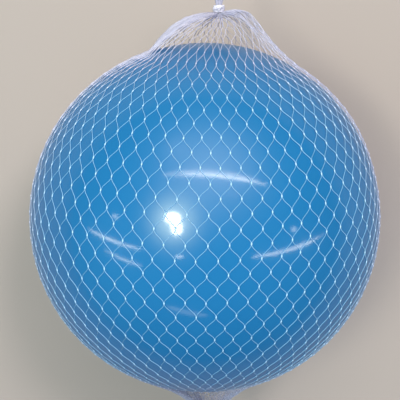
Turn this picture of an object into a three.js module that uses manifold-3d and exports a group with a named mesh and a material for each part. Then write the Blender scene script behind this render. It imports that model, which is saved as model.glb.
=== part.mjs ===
// Inflated plastic play ball in a diamond-mesh carry net, at real size.
// Millimetres, +Z up. The ball lies on the floor and the net's gathered neck points along +Y.
// The origin is the point of the floor straight under the ball's centre.

import * as THREE from "three";
import { mergeVertices } from "three/addons/utils/BufferGeometryUtils.js";
import Module from "manifold-3d";

const wasm = await Module();
wasm.setup();

const DEGREE = Math.PI / 180;

// Clearance between pieces that touch on the real ball.
const SEAT_GAP = 0.3;

// Ball skin, blown from soft PVC.
const BALL_RADIUS = 115;
const SKIN_WALL = 0.6;
const SKIN_SEGMENTS = 48;
const SKIN_ARC_STEPS = 24;

// Valve on the +X side: a socket bonded inside the skin, and its push-in plug.
const PLUG_HEAD_RADIUS = 3.5;
const PLUG_HEAD_THICKNESS = 1.3;
const PLUG_HEAD_CROWN = 0.3;
const PLUG_PIN_RADIUS = 2;
const PLUG_TIP_RADIUS = 1.4;
const PLUG_PIN_LENGTH = 11;
const PLUG_TIP_TAPER = 3;
const HEAD_SIDE_GAP = 0.4;
const SOCKET_FLANGE_RADIUS = 9;
const SOCKET_FLANGE_THICKNESS = 1.2;
const SOCKET_WALL = 1.6;
const SOCKET_LENGTH = 13;
const VALVE_SEGMENTS = 28;

// Net: one sleeve of diamond mesh. Each quarter turn holds whole columns and a half one, which puts a joint
// under the ball and a gap over the valve.
const WHOLE_COLUMNS_PER_QUARTER = 4;
const STRAND_LENGTH = 35;
const STRAND_WIDTH = 1.2;
const STRAND_THICKNESS = 1;
const JOINT_LENGTH = 6;
const JOINT_WIDTH = 1.8;
const REST_FLAT_DEPTH = 0.5;

// Shares of the room that a column leaves, for a strand and for half a joint, where the net is gathered tight.
const STRAND_ROOM = 0.3;
const HALF_JOINT_ROOM = 0.15;

// Both ends of the net: a round stem through the tie, and the loose tassel past it.
const STEM_RADIUS = 2.4;
const STEM_THICKNESS = 0.6;
const TIE_LENGTH = 5;
const TIE_WALL = 0.8;
const TIE_CHAMFER = 0.25;
const TIE_SEGMENTS = 28;
const STEM_MARGIN = 1;
const TASSEL_LENGTH = 25;
const TASSEL_RADIUS = 8;

// How the net leaves the ball at each end. The near side is +X, the far side is -X.
// Inset and rise lead off from the ball; spread and arch lead in to the stem.
const NECK = {
  direction: 1,
  stemOffset: 9,
  reach: 18,
  near: { liftOff: 60 * DEGREE, inset: 13, rise: 17.5, spread: 21.6, arch: 9 },
  far: { liftOff: 72 * DEGREE, inset: 9, rise: 8.5, spread: 21.6, arch: 1 },
};
const TAIL = {
  direction: -1,
  stemOffset: 3.4,
  reach: 32,
  near: { liftOff: 62 * DEGREE, inset: 17.7, rise: 9.4, spread: 18, arch: -4 },
  far: { liftOff: 62 * DEGREE, inset: 17.7, rise: 9.4, spread: 18, arch: -4 },
};

// Worked out from the sizes above.
const NET_COLUMNS = 4 * WHOLE_COLUMNS_PER_QUARTER + 2;
const COLUMN_ANGLE = (2 * Math.PI) / NET_COLUMNS;
const STRAND_HALF_BEND = STRAND_LENGTH / 4 / BALL_RADIUS;
const NET_INNER_RADIUS = (BALL_RADIUS + SEAT_GAP) / Math.cos(STRAND_HALF_BEND);
const BALL_CENTRE_HEIGHT = NET_INNER_RADIUS + STRAND_THICKNESS - REST_FLAT_DEPTH;
const STEM_INNER_RADIUS = STEM_RADIUS - STEM_THICKNESS;
const TIE_CENTRE = STEM_MARGIN + TIE_LENGTH / 2;

const SKIN_INNER_RADIUS = BALL_RADIUS - SKIN_WALL;
const VALVE_HOLE_RADIUS = PLUG_HEAD_RADIUS + HEAD_SIDE_GAP;
const SOCKET_BORE_RADIUS = PLUG_PIN_RADIUS + SEAT_GAP;
const SKIN_FACET_SAG = 1 - Math.cos(Math.PI / SKIN_ARC_STEPS / 2);
const FLANGE_FACE =
  Math.sqrt(SKIN_INNER_RADIUS ** 2 - SOCKET_FLANGE_RADIUS ** 2) - SKIN_INNER_RADIUS * SKIN_FACET_SAG - SEAT_GAP;
const PLUG_SEAT = FLANGE_FACE + SEAT_GAP;

const ballBlue = new THREE.MeshStandardMaterial({ color: 0x1b7cc4, roughness: 0.18, metalness: 0 });
const socketBlue = new THREE.MeshStandardMaterial({ color: 0x2a86c8, roughness: 0.5, metalness: 0 });
const plugWhite = new THREE.MeshStandardMaterial({ color: 0xf2f3f2, roughness: 0.4, metalness: 0 });
const netWhite = new THREE.MeshStandardMaterial({ color: 0xe9ecf2, roughness: 0.35, metalness: 0 });
const tieWhite = new THREE.MeshStandardMaterial({ color: 0xf4f4f6, roughness: 0.45, metalness: 0 });

// Closed meshes

/** Leaves only positions, joins equal points and drops the triangles that this folds flat. */
function weld(geometry) {
  geometry.deleteAttribute("normal");
  geometry.deleteAttribute("uv");
  const welded = mergeVertices(geometry);
  const corners = welded.index.array;
  const kept = [];
  for (let i = 0; i < corners.length; i += 3) {
    const [a, b, c] = [corners[i], corners[i + 1], corners[i + 2]];
    if (a !== b && b !== c && c !== a) {
      kept.push(a, b, c);
    }
  }
  welded.setIndex(kept);
  return welded;
}

/** Turns a closed ring of [radius, height] points round the Y axis. */
function revolve(profile, segments) {
  const points = profile.map(([radius, height]) => new THREE.Vector2(radius, height));
  return weld(new THREE.LatheGeometry(points, segments));
}

/** Turns a profile round the Y axis and lays that axis along +X. */
function revolveAlongX(profile, segments) {
  return revolve(profile, segments).rotateZ(-Math.PI / 2);
}

function toManifold(geometry) {
  const vertProperties = new Float32Array(geometry.attributes.position.array);
  const triVerts = new Uint32Array(geometry.index.array);
  return new wasm.Manifold(new wasm.Mesh({ numProp: 3, vertProperties, triVerts }));
}

function fromManifold(solid) {
  const mesh = solid.getMesh();
  const geometry = new THREE.BufferGeometry();
  geometry.setAttribute("position", new THREE.Float32BufferAttribute(mesh.vertProperties, 3));
  geometry.setIndex([...mesh.triVerts]);
  return geometry;
}

function named(name, geometry, material) {
  geometry.computeVertexNormals();
  const mesh = new THREE.Mesh(geometry, material);
  mesh.name = name;
  return mesh;
}

// Ball and valve, each drawn round the valve's axis

/** Points of a circle from one angle to another, as [radius, height] round the axis. */
function arc(radius, from, to, steps) {
  const points = [];
  for (let i = 0; i <= steps; i += 1) {
    const angle = from + ((to - from) * i) / steps;
    points.push([Math.max(0, radius * Math.sin(angle)), radius * Math.cos(angle)]);
  }
  return points;
}

function ballSkin() {
  const outerEdge = Math.asin(VALVE_HOLE_RADIUS / BALL_RADIUS);
  const innerEdge = Math.asin(VALVE_HOLE_RADIUS / SKIN_INNER_RADIUS);
  const outer = arc(BALL_RADIUS, Math.PI, outerEdge, SKIN_ARC_STEPS);
  const inner = arc(SKIN_INNER_RADIUS, innerEdge, Math.PI, SKIN_ARC_STEPS);
  return revolveAlongX([...outer, ...inner], SKIN_SEGMENTS);
}

function valveSocket() {
  const tubeRadius = SOCKET_BORE_RADIUS + SOCKET_WALL;
  const flangeBack = FLANGE_FACE - SOCKET_FLANGE_THICKNESS;
  const tubeEnd = FLANGE_FACE - SOCKET_LENGTH;
  const corner = SOCKET_WALL / 3;
  const profile = [
    [SOCKET_BORE_RADIUS, tubeEnd],
    [tubeRadius - corner, tubeEnd],
    [tubeRadius, tubeEnd + corner],
    [tubeRadius, flangeBack - corner],
    [tubeRadius + corner, flangeBack],
    [SOCKET_FLANGE_RADIUS - corner, flangeBack],
    [SOCKET_FLANGE_RADIUS, FLANGE_FACE - corner],
    [SOCKET_FLANGE_RADIUS, FLANGE_FACE],
    [SOCKET_BORE_RADIUS, FLANGE_FACE],
    [SOCKET_BORE_RADIUS, tubeEnd],
  ];
  return revolveAlongX(profile, VALVE_SEGMENTS);
}

function valvePlug() {
  const tip = PLUG_SEAT - PLUG_PIN_LENGTH;
  const headRim = PLUG_SEAT + PLUG_HEAD_THICKNESS;
  const profile = [
    [0, tip],
    [PLUG_TIP_RADIUS * 0.7, tip],
    [PLUG_TIP_RADIUS, tip + PLUG_TIP_RADIUS * 0.3],
    [PLUG_PIN_RADIUS, tip + PLUG_TIP_TAPER],
    [PLUG_PIN_RADIUS, PLUG_SEAT],
    [PLUG_HEAD_RADIUS, PLUG_SEAT],
    [PLUG_HEAD_RADIUS, headRim - PLUG_HEAD_CROWN],
    [PLUG_HEAD_RADIUS - PLUG_HEAD_CROWN, headRim],
    [PLUG_HEAD_RADIUS / 2, headRim + PLUG_HEAD_CROWN],
    [0, headRim + PLUG_HEAD_CROWN],
  ];
  return revolveAlongX(profile, VALVE_SEGMENTS);
}

// Net

/**
 * A thin sheet made of panels. Each of its points is a pair, one on the inner face and one on the outer.
 * A panel's corners run anticlockwise seen from outside, and a wall closes an edge with its panel on the left.
 */
class Sheet {
  constructor() {
    this.positions = [];
    this.corners = [];
  }

  addPair(inner, normal, thickness) {
    const outer = inner.clone().addScaledVector(normal, thickness);
    this.positions.push(...inner.toArray(), ...outer.toArray());
    return this.positions.length / 6 - 1;
  }

  addQuad(a, b, c, d) {
    this.corners.push(a, b, c, a, c, d);
  }

  addPanel(a, b, c, d) {
    this.addQuad(2 * a + 1, 2 * b + 1, 2 * c + 1, 2 * d + 1);
    this.addQuad(2 * d, 2 * c, 2 * b, 2 * a);
  }

  addWall(from, to) {
    this.addQuad(2 * from, 2 * to, 2 * to + 1, 2 * from + 1);
  }

  toGeometry() {
    const geometry = new THREE.BufferGeometry();
    geometry.setAttribute("position", new THREE.Float32BufferAttribute(this.positions, 3));
    geometry.setIndex(this.corners);
    return geometry;
  }
}

/** The point at a radius from the net's own axis, at a place along it and an angle round it. */
function roundAxis(radius, along, angle, offset = 0) {
  return new THREE.Vector3(offset + radius * Math.cos(angle), along, radius * Math.sin(angle));
}

/** A ring of the net that lies on the ball at one latitude. */
function ballRing(latitude, hasJoints) {
  const radius = NET_INNER_RADIUS * Math.cos(latitude);
  const along = NET_INNER_RADIUS * Math.sin(latitude);
  return {
    hasJoints,
    place: (angle) => roundAxis(radius, along, angle),
    room: radius * COLUMN_ANGLE,
    thickness: STRAND_THICKNESS,
    halfJointLength: JOINT_LENGTH / 2,
  };
}

/** Latitudes of the rows of joints from the equator towards one end, short of where the net lifts off. */
function rowLatitudes(end) {
  const limit = Math.min(end.near.liftOff, end.far.liftOff);
  const strandAngle = STRAND_LENGTH / NET_INNER_RADIUS;
  const latitudes = [];
  let latitude = 0;
  while (latitude < limit) {
    latitudes.push(latitude);
    const sideways = (COLUMN_ANGLE / 2) * Math.cos(latitude);
    latitude += Math.sqrt(strandAngle ** 2 - sideways ** 2);
  }
  return latitudes;
}

/** The curve that the net follows from the ball to the stem, at one angle round the axis. */
function gatherCurve(end, angle) {
  const nearShare = (1 + Math.cos(angle)) / 2;
  const blend = (key) => THREE.MathUtils.lerp(end.far[key], end.near[key], nearShare);
  const liftOff = blend("liftOff");
  const leaveRadius = NET_INNER_RADIUS * Math.cos(liftOff);
  const leaveAlong = NET_INNER_RADIUS * Math.sin(liftOff);
  const stemAlong = BALL_RADIUS + end.reach;
  const aimRadius = STEM_INNER_RADIUS + blend("spread");
  return new THREE.CubicBezierCurve3(
    roundAxis(leaveRadius, end.direction * leaveAlong, angle),
    roundAxis(leaveRadius - blend("inset"), end.direction * (leaveAlong + blend("rise")), angle),
    roundAxis(aimRadius, end.direction * (stemAlong + blend("arch")), angle, end.stemOffset),
    roundAxis(STEM_INNER_RADIUS, end.direction * stemAlong, angle, end.stemOffset),
  );
}

/** The net's path from its last row on the ball to the stem: along the ball, then along the gather. */
function gatherPath(end, lastLatitude, angle) {
  const curve = gatherCurve(end, angle);
  const liftOff = Math.asin(Math.abs(curve.v0.y) / NET_INNER_RADIUS);
  const ballLength = NET_INNER_RADIUS * (liftOff - lastLatitude);
  const length = ballLength + curve.getLength();
  const pointAt = (share) => {
    const travelled = share * length;
    if (travelled < ballLength) {
      const latitude = lastLatitude + travelled / NET_INNER_RADIUS;
      const radius = NET_INNER_RADIUS * Math.cos(latitude);
      return roundAxis(radius, end.direction * NET_INNER_RADIUS * Math.sin(latitude), angle);
    }
    return curve.getPointAt((travelled - ballLength) / (length - ballLength));
  };
  return { length, pointAt };
}

/** Rows of joints between the ball and the stem. */
function gatherRings(end, lastLatitude) {
  const sideOn = gatherPath(end, lastLatitude, Math.PI / 2);
  const steps = Math.max(2, Math.round(sideOn.length / STRAND_LENGTH));
  const rings = [];
  for (let step = 1; step < steps; step += 1) {
    const share = step / steps;
    const centre = sideOn.pointAt(share);
    rings.push({
      hasJoints: true,
      place: (angle) => gatherPath(end, lastLatitude, angle).pointAt(share),
      room: centre.z * COLUMN_ANGLE,
      thickness: STRAND_THICKNESS,
      halfJointLength: JOINT_LENGTH / 2,
    });
  }
  return rings;
}

/** A round ring about the stem's axis, a distance past the stem's foot. */
function stemRing(end, radius, past, hasJoints) {
  const along = end.direction * (BALL_RADIUS + end.reach + past);
  return {
    hasJoints,
    place: (angle) => roundAxis(radius, along, angle, end.stemOffset),
    room: radius * COLUMN_ANGLE,
    thickness: STEM_THICKNESS,
    halfJointLength: TIE_LENGTH / 4,
  };
}

/** The net's rings from the equator to one end, the equator's own row left out. */
function ringsTowards(end) {
  const latitudes = rowLatitudes(end);
  const rings = [];
  for (let row = 1; row < latitudes.length; row += 1) {
    const middle = (latitudes[row - 1] + latitudes[row]) / 2;
    rings.push(ballRing(end.direction * middle, false));
    rings.push(ballRing(end.direction * latitudes[row], true));
  }
  const stemTop = 2 * TIE_CENTRE;
  return [
    ...rings,
    ...gatherRings(end, latitudes.at(-1)),
    stemRing(end, STEM_INNER_RADIUS, 0, false),
    stemRing(end, STEM_INNER_RADIUS, TIE_CENTRE, true),
    stemRing(end, STEM_INNER_RADIUS, stemTop, false),
    stemRing(end, TASSEL_RADIUS, stemTop + TASSEL_LENGTH, true),
  ];
}

/** Directions on the net at one ring: along it towards the neck, round it, and straight out of it. */
function directionsAt(rings, index, angle) {
  const step = COLUMN_ANGLE / 8;
  const before = rings[Math.max(0, index - 1)].place(angle);
  const after = rings[Math.min(rings.length - 1, index + 1)].place(angle);
  const ring = rings[index];
  const round = ring.place(angle + step).sub(ring.place(angle - step)).normalize();
  const normal = after.sub(before).cross(round).normalize();
  const along = round.clone().cross(normal).normalize();
  return { along, round, normal };
}

/** Adds the four corners of one joint and the panel between them. */
function addJoint(sheet, rings, index, angle) {
  const ring = rings[index];
  const centre = ring.place(angle);
  const { along, round, normal } = directionsAt(rings, index, angle);
  const halfWidth = Math.min(JOINT_WIDTH / 2, HALF_JOINT_ROOM * ring.room);
  const corner = (direction, distance) =>
    sheet.addPair(centre.clone().addScaledVector(direction, distance), normal, ring.thickness);
  const joint = {
    top: corner(along, ring.halfJointLength),
    left: corner(round, halfWidth),
    bottom: corner(along, -ring.halfJointLength),
    right: corner(round, -halfWidth),
  };
  sheet.addPanel(joint.right, joint.top, joint.left, joint.bottom);
  return joint;
}

/** Adds a strand between two joints, given the corners where its left and right edges start and end. */
function addStrand(sheet, rings, between, angle, strandStart, strandEnd, leftEdge, rightEdge) {
  const lefts = [leftEdge.start];
  const rights = [rightEdge.start];
  for (const index of between) {
    const ring = rings[index];
    const { normal } = directionsAt(rings, index, angle);
    const direction = strandEnd.clone().sub(strandStart).normalize();
    const side = normal.clone().cross(direction).normalize();
    const halfWidth = Math.min(STRAND_WIDTH, STRAND_ROOM * ring.room) / 2;
    const centre = ring.place(angle);
    lefts.push(sheet.addPair(centre.clone().addScaledVector(side, halfWidth), normal, ring.thickness));
    rights.push(sheet.addPair(centre.clone().addScaledVector(side, -halfWidth), normal, ring.thickness));
  }
  lefts.push(leftEdge.end);
  rights.push(rightEdge.end);
  for (let i = 1; i < lefts.length; i += 1) {
    sheet.addPanel(rights[i - 1], rights[i], lefts[i], lefts[i - 1]);
    sheet.addWall(rights[i - 1], rights[i]);
    sheet.addWall(lefts[i], lefts[i - 1]);
  }
}

/** The whole net, before it is pressed flat where it rests. */
function netSheet() {
  const rings = [...ringsTowards(TAIL).reverse(), ballRing(0, true), ...ringsTowards(NECK)];
  const equator = ringsTowards(TAIL).length;
  const rowsAt = rings.flatMap((ring, index) => (ring.hasJoints ? [index] : []));
  const equatorRow = rowsAt.indexOf(equator);
  const sheet = new Sheet();
  const angleOf = (row, column) => {
    const shift = (row - equatorRow) % 2 === 0 ? 0 : 0.5;
    return -Math.PI / 2 + (column + shift) * COLUMN_ANGLE;
  };
  const joints = rowsAt.map((index, row) =>
    Array.from({ length: NET_COLUMNS }, (_, column) => addJoint(sheet, rings, index, angleOf(row, column))),
  );
  for (let row = 0; row + 1 < rowsAt.length; row += 1) {
    const between = [];
    for (let index = rowsAt[row] + 1; index < rowsAt[row + 1]; index += 1) {
      between.push(index);
    }
    const shifted = (row - equatorRow) % 2 !== 0;
    for (let column = 0; column < NET_COLUMNS; column += 1) {
      const joint = joints[row][column];
      const angle = angleOf(row, column);
      const start = rings[rowsAt[row]].place(angle);
      for (const turn of [1, -1]) {
        const endAngle = angle + (turn * COLUMN_ANGLE) / 2;
        const end = rings[rowsAt[row + 1]].place(endAngle);
        const middleAngle = angle + (turn * COLUMN_ANGLE) / 4;
        const wanted = turn > 0 ? column + (shifted ? 1 : 0) : column - (shifted ? 0 : 1);
        const next = joints[row + 1][(wanted + NET_COLUMNS) % NET_COLUMNS];
        const leftEdge = turn > 0 ? { start: joint.left, end: next.bottom } : { start: joint.top, end: next.left };
        const rightEdge = turn > 0 ? { start: joint.top, end: next.right } : { start: joint.right, end: next.bottom };
        addStrand(sheet, rings, between, middleAngle, start, end, leftEdge, rightEdge);
      }
    }
  }
  for (const joint of joints[0]) {
    sheet.addWall(joint.left, joint.bottom);
    sheet.addWall(joint.bottom, joint.right);
  }
  for (const joint of joints.at(-1)) {
    sheet.addWall(joint.right, joint.top);
    sheet.addWall(joint.top, joint.left);
  }
  return sheet.toGeometry().translate(0, 0, BALL_CENTRE_HEIGHT);
}

/** The net with its lowest joint pressed flat on the floor. */
function net() {
  const side = BALL_RADIUS;
  const floor = new THREE.BoxGeometry(side, side, side).translate(0, 0, -side / 2);
  return fromManifold(toManifold(netSheet()).subtract(toManifold(weld(floor))));
}

/** The band round the stem at one end of the net. */
function tie() {
  const inner = STEM_RADIUS + SEAT_GAP;
  const outer = inner + TIE_WALL;
  const half = TIE_LENGTH / 2;
  const profile = [
    [inner, -half + TIE_CHAMFER],
    [inner + TIE_CHAMFER, -half],
    [outer - TIE_CHAMFER, -half],
    [outer, -half + TIE_CHAMFER],
    [outer, half - TIE_CHAMFER],
    [outer - TIE_CHAMFER, half],
    [inner + TIE_CHAMFER, half],
    [inner, half - TIE_CHAMFER],
    [inner, -half + TIE_CHAMFER],
  ];
  return revolve(profile, TIE_SEGMENTS);
}

function placedTie(name, end) {
  const mesh = named(name, tie(), tieWhite);
  mesh.position.set(end.stemOffset, end.direction * (BALL_RADIUS + end.reach + TIE_CENTRE), BALL_CENTRE_HEIGHT);
  return mesh;
}

// Assembly

const ball = new THREE.Group();
ball.position.z = BALL_CENTRE_HEIGHT;
ball.add(named("ball_skin", ballSkin(), ballBlue));
ball.add(named("valve_socket", valveSocket(), socketBlue));
ball.add(named("valve_plug", valvePlug(), plugWhite));

const nettedBall = new THREE.Group();
nettedBall.add(ball);
nettedBall.add(named("net", net(), netWhite));
nettedBall.add(placedTie("neck_tie", NECK));
nettedBall.add(placedTie("tail_tie", TAIL));

export default nettedBall;
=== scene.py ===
"""Blown plastic play ball in a white diamond-mesh carry net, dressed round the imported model.

Metres, +Z up, +Y along the net to its gathered neck, +X to the valve. The origin is the point of the
floor straight under the ball's centre.
"""

import logging
import math
from dataclasses import dataclass, field
from enum import Enum

import bpy
import numpy as np
from mathutils import Matrix, Vector


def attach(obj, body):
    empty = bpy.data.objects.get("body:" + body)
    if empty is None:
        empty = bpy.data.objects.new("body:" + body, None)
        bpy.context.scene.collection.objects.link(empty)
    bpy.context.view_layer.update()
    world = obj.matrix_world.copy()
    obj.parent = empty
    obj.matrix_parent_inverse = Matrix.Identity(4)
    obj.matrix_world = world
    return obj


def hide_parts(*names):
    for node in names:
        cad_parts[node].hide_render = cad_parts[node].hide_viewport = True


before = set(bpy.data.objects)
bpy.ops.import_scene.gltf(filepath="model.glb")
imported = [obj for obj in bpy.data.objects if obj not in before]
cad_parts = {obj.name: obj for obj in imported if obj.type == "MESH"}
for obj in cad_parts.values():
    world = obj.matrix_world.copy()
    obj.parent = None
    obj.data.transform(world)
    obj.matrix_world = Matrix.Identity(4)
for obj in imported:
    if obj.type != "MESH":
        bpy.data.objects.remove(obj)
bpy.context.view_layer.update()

log = logging.getLogger("play_ball")

MM = 0.001
DEGREE = math.pi / 180

# Below these a radius counts as a point on the axis, and a length as none.
ON_AXIS = 1e-9
NO_LENGTH = 1e-12

Colour = tuple[float, float, float]
Profile = list[tuple[float, float]]

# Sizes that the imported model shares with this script.
BALL_RADIUS = 115 * MM
SKIN_WALL = 0.6 * MM
SEAT_GAP = 0.3 * MM
CENTRE_HEIGHT = 116.13 * MM
BALL_CENTRE = np.array([0.0, 0.0, CENTRE_HEIGHT])

NETTED_BODY = "netted_ball"
PLUG_BODY = "plug"


# Node trees


class Signal:
    """A number that flows through a node tree. Python's operators on it add Math nodes."""

    def __init__(self, graph: "Graph", socket: bpy.types.NodeSocket) -> None:
        """Wraps one output socket of the graph's tree."""
        self.graph = graph
        self.socket = socket

    def _math(self, operation: str, first: "Signal | float", second: "Signal | float") -> "Signal":
        """Adds one Math node.

        Args:
            operation: the Math node's operation.
            first: its first value or link.
            second: its second value or link.

        Returns:
            The node's result.
        """
        node = self.graph.node("ShaderNodeMath", {"operation": operation}, {0: first, 1: second})
        return Signal(self.graph, node.outputs[0])

    def __add__(self, other: "Signal | float") -> "Signal":
        """The sum of two signals."""
        return self._math("ADD", self, other)

    def __radd__(self, other: float) -> "Signal":
        """The sum of a number and a signal."""
        return self._math("ADD", other, self)

    def __sub__(self, other: "Signal | float") -> "Signal":
        """The difference of two signals."""
        return self._math("SUBTRACT", self, other)

    def __rsub__(self, other: float) -> "Signal":
        """A number less a signal."""
        return self._math("SUBTRACT", other, self)

    def __mul__(self, other: "Signal | float") -> "Signal":
        """The product of two signals."""
        return self._math("MULTIPLY", self, other)

    def __rmul__(self, other: float) -> "Signal":
        """The product of a number and a signal."""
        return self._math("MULTIPLY", other, self)

    def __pow__(self, exponent: float) -> "Signal":
        """The signal raised to a power."""
        return self._math("POWER", self, exponent)

    def size(self) -> "Signal":
        """The signal without its sign."""
        return self._math("ABSOLUTE", self, 0.0)

    def clamped(self) -> "Signal":
        """The signal held between 0 and 1."""
        return self._math("MINIMUM", self._math("MAXIMUM", self, 0.0), 1.0)


class Graph:
    """A node tree that is being built."""

    def __init__(self, tree: bpy.types.NodeTree) -> None:
        """Starts on an empty or cleared tree."""
        self.tree = tree

    def node(self, kind: str, settings: dict | None = None, inputs: dict | None = None) -> bpy.types.Node:
        """Adds one node.

        Args:
            kind: the node's type name.
            settings: its properties by name, such as a Math node's operation, set first.
            inputs: values or links by the input socket's name or index.

        Returns:
            The new node.
        """
        node = self.tree.nodes.new(kind)
        for name, value in (settings or {}).items():
            setattr(node, name, value)
        for key, value in (inputs or {}).items():
            self.feed(node.inputs[key], value)
        return node

    def feed(self, socket: bpy.types.NodeSocket, value: object) -> None:
        """Links a socket to a signal or an output, or sets its own value.

        Args:
            socket: the input socket.
            value: a signal, another node's output socket or a plain value.
        """
        if isinstance(value, Signal):
            value = value.socket
        if isinstance(value, bpy.types.NodeSocket):
            self.tree.links.new(value, socket)
        else:
            socket.default_value = value


class ShaderGraph(Graph):
    """A material's tree, with the few patterns that the finishes share."""

    def __init__(self, name: str) -> None:
        """Makes the material with its output node and its Object coordinates.

        Args:
            name: the material's name.
        """
        self.material = bpy.data.materials.new(name)
        self.material.use_nodes = True
        super().__init__(self.material.node_tree)
        self.tree.nodes.clear()
        self.out = self.node("ShaderNodeOutputMaterial")
        self.place = self.node("ShaderNodeTexCoord").outputs["Object"]

    def noise(self, scale: float, detail: float = 2.0, roughness: float = 0.5) -> Signal:
        """A noise pattern on Object coordinates.

        Args:
            scale: patches per metre.
            detail: how many finer layers it has.
            roughness: how strong the finer layers are.

        Returns:
            The noise, around 0.5.
        """
        settings = {"noise_dimensions": "3D"}
        inputs = {"Vector": self.place, "Scale": scale, "Detail": detail, "Roughness": roughness}
        return Signal(self, self.node("ShaderNodeTexNoise", settings, inputs).outputs[0])

    def blend_colour(self, factor: Signal, first: Colour, second: Colour) -> bpy.types.NodeSocket:
        """Mixes two colours by a signal.

        Args:
            factor: 0 for the first colour, 1 for the second.
            first: linear red, green, blue.
            second: linear red, green, blue.

        Returns:
            The mixed colour's socket.
        """
        colour_in_a, colour_in_b, colour_out = 6, 7, 2
        settings = {"data_type": "RGBA"}
        inputs = {0: factor, colour_in_a: (*first, 1.0), colour_in_b: (*second, 1.0)}
        return self.node("ShaderNodeMix", settings, inputs).outputs[colour_out]

    def mottled(self, factor: Signal, colour: Colour, shade: float) -> bpy.types.NodeSocket:
        """Mixes a colour, by a signal, with the same colour at a share of its brightness."""
        return self.blend_colour(factor, tuple(shade * part for part in colour), colour)

    def bump(self, height: Signal, strength: float, distance: float) -> bpy.types.NodeSocket:
        """A Bump node over a height.

        Args:
            height: the height pattern.
            strength: how much of it shows, 0 to 1.
            distance: the relief in metres.

        Returns:
            The bent normal's socket.
        """
        inputs = {"Strength": strength, "Distance": distance, "Height": height}
        return self.node("ShaderNodeBump", None, inputs).outputs["Normal"]

    def surface(self, inputs: dict) -> bpy.types.Material:
        """Ends the material in one Principled shader.

        Args:
            inputs: values or links for the shader's sockets.

        Returns:
            The finished material.
        """
        shader = self.node("ShaderNodeBsdfPrincipled", None, inputs)
        self.feed(self.out.inputs["Surface"], shader.outputs["BSDF"])
        return self.material


# Finishes


@dataclass(frozen=True)
class BlownVinyl:
    """Glossy skin of blown soft PVC, with slow colour drift, faint handling smears and a fine peel."""

    name: str = "blown_vinyl"
    slot: str = "skin"
    colour: Colour = (0.0085, 0.137, 0.344)
    pale_colour: Colour = (0.0135, 0.153, 0.371)
    drift_scale: float = 14.0
    gloss: float = 0.33
    smear: float = 0.08
    smear_scale: float = 70.0
    smear_detail: float = 4.0
    smear_roughness: float = 0.6
    specular: float = 0.12
    coat: float = 1.0
    coat_index: float = 1.58
    edge_loss: float = 0.95
    edge_blend: float = 0.5
    coat_roughness: float = 0.1
    peel: float = 0.25
    peel_scale: float = 900.0
    peel_depth: float = 0.02 * MM

    def material(self) -> bpy.types.Material:
        """Builds the skin's material.

        Returns:
            A hazy base under a clear coat that fades towards the ball's edge.
        """
        graph = ShaderGraph(self.name)
        drift = graph.noise(self.drift_scale)
        smear = graph.noise(self.smear_scale, self.smear_detail, self.smear_roughness)
        peel = graph.noise(self.peel_scale, detail=1.0)
        layer = graph.node("ShaderNodeLayerWeight", None, {"Blend": self.edge_blend})
        edge = Signal(graph, layer.outputs["Facing"])
        return graph.surface(
            {
                "Base Color": graph.blend_colour(drift, self.colour, self.pale_colour),
                "Roughness": self.gloss + self.smear * (smear - 0.5),
                "Specular IOR Level": self.specular,
                "Coat Weight": self.coat * (1 - self.edge_loss * edge),
                "Coat Roughness": self.coat_roughness,
                "Coat IOR": self.coat_index,
                "Normal": graph.bump(peel, self.peel, self.peel_depth),
            }
        )


@dataclass(frozen=True)
class MouldedPlastic:
    """Satin moulded plastic with a fine grain."""

    name: str
    slot: str
    colour: Colour
    shade: float = 0.88
    mottle_scale: float = 260.0
    gloss: float = 0.4
    gloss_drift: float = 0.15
    grain: float = 0.4
    grain_scale: float = 2200.0
    grain_depth: float = 0.02 * MM

    def material(self) -> bpy.types.Material:
        """Builds the moulded piece's material.

        Returns:
            A satin surface, slightly mottled in colour and gloss.
        """
        graph = ShaderGraph(self.name)
        mottle = graph.noise(self.mottle_scale, detail=3.0)
        grain = graph.noise(self.grain_scale)
        return graph.surface(
            {
                "Base Color": graph.mottled(mottle, self.colour, self.shade),
                "Roughness": self.gloss + self.gloss_drift * (mottle - 0.5),
                "Normal": graph.bump(grain, self.grain, self.grain_depth),
            }
        )


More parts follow.
